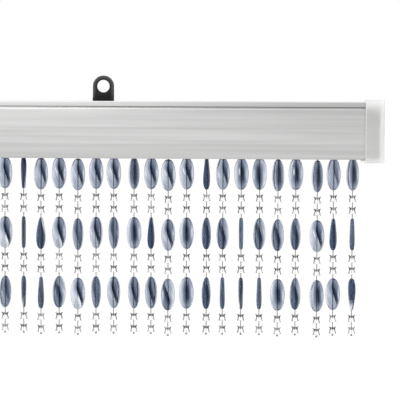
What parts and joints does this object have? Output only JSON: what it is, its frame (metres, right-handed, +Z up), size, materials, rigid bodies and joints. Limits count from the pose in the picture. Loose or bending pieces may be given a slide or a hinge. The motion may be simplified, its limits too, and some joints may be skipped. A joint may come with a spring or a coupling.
{
  "type": "fly curtain",
  "caption": "Bead fly curtain section: aluminium head rail with translucent end caps, sliding black hanging lugs and strands of twisted oval beads and clear spool beads that swing and turn.",
  "frame": {"origin": "middle of the flat lower half of the rail's back, which lies on the wall", "axes": "+X to the right along the rail, +Y into the wall, +Z up; the front looks along -Y"},
  "size_m": [0.341, 0.0202, 0.1996],
  "materials": {
    "aluminium": "satin extrusion",
    "steel": "drawn rod",
    "frosted_plastic": "frosted translucent",
    "black_plastic": "satin moulded",
    "clip_plastic": "moulded",
    "slate_blue_acrylic": "glossy tinted acrylic"
  },
  "bodies": {
    "rail": {"head_rail": "aluminium", "strand_rod": "steel"},
    "cap_left": {"end_cap_left": "frosted_plastic"},
    "cap_right": {"end_cap_right": "frosted_plastic"},
    "lug_left": {"hanging_lug_left": "black_plastic"},
    "lug_right": {"hanging_lug_right": "black_plastic"},
    "clip_01": {"strand_clip_01": "clip_plastic"},
    "strand_01": {"strand_01": "slate_blue_acrylic"},
    "clip_02": {"strand_clip_02": "clip_plastic"},
    "strand_02": {"strand_02": "slate_blue_acrylic"},
    "clip_03": {"strand_clip_03": "clip_plastic"},
    "strand_03": {"strand_03": "slate_blue_acrylic"},
    "clip_04": {"strand_clip_04": "clip_plastic"},
    "strand_04": {"strand_04": "slate_blue_acrylic"},
    "clip_05": {"strand_clip_05": "clip_plastic"},
    "strand_05": {"strand_05": "slate_blue_acrylic"},
    "clip_06": {"strand_clip_06": "clip_plastic"},
    "strand_06": {"strand_06": "slate_blue_acrylic"},
    "clip_07": {"strand_clip_07": "clip_plastic"},
    "strand_07": {"strand_07": "slate_blue_acrylic"},
    "clip_08": {"strand_clip_08": "clip_plastic"},
    "strand_08": {"strand_08": "slate_blue_acrylic"},
    "clip_09": {"strand_clip_09": "clip_plastic"},
    "strand_09": {"strand_09": "slate_blue_acrylic"},
    "clip_10": {"strand_clip_10": "clip_plastic"},
    "strand_10": {"strand_10": "slate_blue_acrylic"},
    "clip_11": {"strand_clip_11": "clip_plastic"},
    "strand_11": {"strand_11": "slate_blue_acrylic"},
    "clip_12": {"strand_clip_12": "clip_plastic"},
    "strand_12": {"strand_12": "slate_blue_acrylic"},
    "clip_13": {"strand_clip_13": "clip_plastic"},
    "strand_13": {"strand_13": "slate_blue_acrylic"},
    "clip_14": {"strand_clip_14": "clip_plastic"},
    "strand_14": {"strand_14": "slate_blue_acrylic"},
    "clip_15": {"strand_clip_15": "clip_plastic"},
    "strand_15": {"strand_15": "slate_blue_acrylic"},
    "clip_16": {"strand_clip_16": "clip_plastic"},
    "strand_16": {"strand_16": "slate_blue_acrylic"},
    "clip_17": {"strand_clip_17": "clip_plastic"},
    "strand_17": {"strand_17": "slate_blue_acrylic"},
    "clip_18": {"strand_clip_18": "clip_plastic"},
    "strand_18": {"strand_18": "slate_blue_acrylic"},
    "clip_19": {"strand_clip_19": "clip_plastic"},
    "strand_19": {"strand_19": "slate_blue_acrylic"},
    "clip_20": {"strand_clip_20": "clip_plastic"},
    "strand_20": {"strand_20": "slate_blue_acrylic"},
    "clip_21": {"strand_clip_21": "clip_plastic"},
    "strand_21": {"strand_21": "slate_blue_acrylic"},
    "clip_22": {"strand_clip_22": "clip_plastic"},
    "strand_22": {"strand_22": "slate_blue_acrylic"}
  },
  "joints": [
    {"name": "strand_01_swing", "type": "hinge", "parent": "rail", "child": "clip_01", "pos_m": [-0.147, -0.009, -0.006], "axis": [1, 0, 0], "range_deg": [-22, 22]},
    {"name": "strand_01_turn", "type": "hinge", "parent": "clip_01", "child": "strand_01", "pos_m": [-0.147, -0.009, -0.0101], "axis": [0, 0, 1], "continuous": true},
    {"name": "strand_02_swing", "type": "hinge", "parent": "rail", "child": "clip_02", "pos_m": [-0.13272, -0.009, -0.006], "axis": [1, 0, 0], "range_deg": [-22, 22]},
    {"name": "strand_02_turn", "type": "hinge", "parent": "clip_02", "child": "strand_02", "pos_m": [-0.13272, -0.009, -0.0101], "axis": [0, 0, 1], "continuous": true},
    {"name": "strand_03_swing", "type": "hinge", "parent": "rail", "child": "clip_03", "pos_m": [-0.119, -0.009, -0.006], "axis": [1, 0, 0], "range_deg": [-22, 22]},
    {"name": "strand_03_turn", "type": "hinge", "parent": "clip_03", "child": "strand_03", "pos_m": [-0.119, -0.009, -0.0101], "axis": [0, 0, 1], "continuous": true},
    {"name": "strand_04_swing", "type": "hinge", "parent": "rail", "child": "clip_04", "pos_m": [-0.10458, -0.009, -0.006], "axis": [1, 0, 0], "range_deg": [-22, 22]},
    {"name": "strand_04_turn", "type": "hinge", "parent": "clip_04", "child": "strand_04", "pos_m": [-0.10458, -0.009, -0.0101], "axis": [0, 0, 1], "continuous": true},
    {"name": "strand_05_swing", "type": "hinge", "parent": "rail", "child": "clip_05", "pos_m": [-0.09128, -0.009, -0.006], "axis": [1, 0, 0], "range_deg": [-22, 22]},
    {"name": "strand_05_turn", "type": "hinge", "parent": "clip_05", "child": "strand_05", "pos_m": [-0.09128, -0.009, -0.0101], "axis": [0, 0, 1], "continuous": true},
    {"name": "strand_06_swing", "type": "hinge", "parent": "rail", "child": "clip_06", "pos_m": [-0.07728, -0.009, -0.006], "axis": [1, 0, 0], "range_deg": [-22, 22]},
    {"name": "strand_06_turn", "type": "hinge", "parent": "clip_06", "child": "strand_06", "pos_m": [-0.07728, -0.009, -0.0101], "axis": [0, 0, 1], "continuous": true},
    {"name": "strand_07_swing", "type": "hinge", "parent": "rail", "child": "clip_07", "pos_m": [-0.06286, -0.009, -0.006], "axis": [1, 0, 0], "range_deg": [-22, 22]},
    {"name": "strand_07_turn", "type": "hinge", "parent": "clip_07", "child": "strand_07", "pos_m": [-0.06286, -0.009, -0.0101], "axis": [0, 0, 1], "continuous": true},
    {"name": "strand_08_swing", "type": "hinge", "parent": "rail", "child": "clip_08", "pos_m": [-0.04886, -0.009, -0.006], "axis": [1, 0, 0], "range_deg": [-22, 22]},
    {"name": "strand_08_turn", "type": "hinge", "parent": "clip_08", "child": "strand_08", "pos_m": [-0.04886, -0.009, -0.0101], "axis": [0, 0, 1], "continuous": true},
    {"name": "strand_09_swing", "type": "hinge", "parent": "rail", "child": "clip_09", "pos_m": [-0.03528, -0.009, -0.006], "axis": [1, 0, 0], "range_deg": [-22, 22]},
    {"name": "strand_09_turn", "type": "hinge", "parent": "clip_09", "child": "strand_09", "pos_m": [-0.03528, -0.009, -0.0101], "axis": [0, 0, 1], "continuous": true},
    {"name": "strand_10_swing", "type": "hinge", "parent": "rail", "child": "clip_10", "pos_m": [-0.01974, -0.009, -0.006], "axis": [1, 0, 0], "range_deg": [-22, 22]},
    {"name": "strand_10_turn", "type": "hinge", "parent": "clip_10", "child": "strand_10", "pos_m": [-0.01974, -0.009, -0.0101], "axis": [0, 0, 1], "continuous": true},
    {"name": "strand_11_swing", "type": "hinge", "parent": "rail", "child": "clip_11", "pos_m": [-0.00658, -0.009, -0.006], "axis": [1, 0, 0], "range_deg": [-22, 22]},
    {"name": "strand_11_turn", "type": "hinge", "parent": "clip_11", "child": "strand_11", "pos_m": [-0.00658, -0.009, -0.0101], "axis": [0, 0, 1], "continuous": true},
    {"name": "strand_12_swing", "type": "hinge", "parent": "rail", "child": "clip_12", "pos_m": [0.00644, -0.009, -0.006], "axis": [1, 0, 0], "range_deg": [-22, 22]},
    {"name": "strand_12_turn", "type": "hinge", "parent": "clip_12", "child": "strand_12", "pos_m": [0.00644, -0.009, -0.0101], "axis": [0, 0, 1], "continuous": true},
    {"name": "strand_13_swing", "type": "hinge", "parent": "rail", "child": "clip_13", "pos_m": [0.02058, -0.009, -0.006], "axis": [1, 0, 0], "range_deg": [-22, 22]},
    {"name": "strand_13_turn", "type": "hinge", "parent": "clip_13", "child": "strand_13", "pos_m": [0.02058, -0.009, -0.0101], "axis": [0, 0, 1], "continuous": true},
    {"name": "strand_14_swing", "type": "hinge", "parent": "rail", "child": "clip_14", "pos_m": [0.03584, -0.009, -0.006], "axis": [1, 0, 0], "range_deg": [-22, 22]},
    {"name": "strand_14_turn", "type": "hinge", "parent": "clip_14", "child": "strand_14", "pos_m": [0.03584, -0.009, -0.0101], "axis": [0, 0, 1], "continuous": true},
    {"name": "strand_15_swing", "type": "hinge", "parent": "rail", "child": "clip_15", "pos_m": [0.04816, -0.009, -0.006], "axis": [1, 0, 0], "range_deg": [-22, 22]},
    {"name": "strand_15_turn", "type": "hinge", "parent": "clip_15", "child": "strand_15", "pos_m": [0.04816, -0.009, -0.0101], "axis": [0, 0, 1], "continuous": true},
    {"name": "strand_16_swing", "type": "hinge", "parent": "rail", "child": "clip_16", "pos_m": [0.0623, -0.009, -0.006], "axis": [1, 0, 0], "range_deg": [-22, 22]},
    {"name": "strand_16_turn", "type": "hinge", "parent": "clip_16", "child": "strand_16", "pos_m": [0.0623, -0.009, -0.0101], "axis": [0, 0, 1], "continuous": true},
    {"name": "strand_17_swing", "type": "hinge", "parent": "rail", "child": "clip_17", "pos_m": [0.0763, -0.009, -0.006], "axis": [1, 0, 0], "range_deg": [-22, 22]},
    {"name": "strand_17_turn", "type": "hinge", "parent": "clip_17", "child": "strand_17", "pos_m": [0.0763, -0.009, -0.0101], "axis": [0, 0, 1], "continuous": true},
    {"name": "strand_18_swing", "type": "hinge", "parent": "rail", "child": "clip_18", "pos_m": [0.0903, -0.009, -0.006], "axis": [1, 0, 0], "range_deg": [-22, 22]},
    {"name": "strand_18_turn", "type": "hinge", "parent": "clip_18", "child": "strand_18", "pos_m": [0.0903, -0.009, -0.0101], "axis": [0, 0, 1], "continuous": true},
    {"name": "strand_19_swing", "type": "hinge", "parent": "rail", "child": "clip_19", "pos_m": [0.10388, -0.009, -0.006], "axis": [1, 0, 0], "range_deg": [-22, 22]},
    {"name": "strand_19_turn", "type": "hinge", "parent": "clip_19", "child": "strand_19", "pos_m": [0.10388, -0.009, -0.0101], "axis": [0, 0, 1], "continuous": true},
    {"name": "strand_20_swing", "type": "hinge", "parent": "rail", "child": "clip_20", "pos_m": [0.12026, -0.009, -0.006], "axis": [1, 0, 0], "range_deg": [-22, 22]},
    {"name": "strand_20_turn", "type": "hinge", "parent": "clip_20", "child": "strand_20", "pos_m": [0.12026, -0.009, -0.0101], "axis": [0, 0, 1], "continuous": true},
    {"name": "strand_21_swing", "type": "hinge", "parent": "rail", "child": "clip_21", "pos_m": [0.13258, -0.009, -0.006], "axis": [1, 0, 0], "range_deg": [-22, 22]},
    {"name": "strand_21_turn", "type": "hinge", "parent": "clip_21", "child": "strand_21", "pos_m": [0.13258, -0.009, -0.0101], "axis": [0, 0, 1], "continuous": true},
    {"name": "strand_22_swing", "type": "hinge", "parent": "rail", "child": "clip_22", "pos_m": [0.147, -0.009, -0.006], "axis": [1, 0, 0], "range_deg": [-22, 22]},
    {"name": "strand_22_turn", "type": "hinge", "parent": "clip_22", "child": "strand_22", "pos_m": [0.147, -0.009, -0.0101], "axis": [0, 0, 1], "continuous": true},
    {"name": "lug_left_slide", "type": "slide", "parent": "rail", "child": "lug_left", "axis": [1, 0, 0], "range_m": [-0.009, 0.0385]},
    {"name": "lug_right_slide", "type": "slide", "parent": "rail", "child": "lug_right", "axis": [1, 0, 0], "range_m": [-0.038, 0.1905]},
    {"name": "cap_left_pull", "type": "slide", "parent": "rail", "child": "cap_left", "axis": [-1, 0, 0], "range_m": [0, 0.02]},
    {"name": "cap_right_pull", "type": "slide", "parent": "rail", "child": "cap_right", "axis": [1, 0, 0], "range_m": [0, 0.02]}
  ]
}
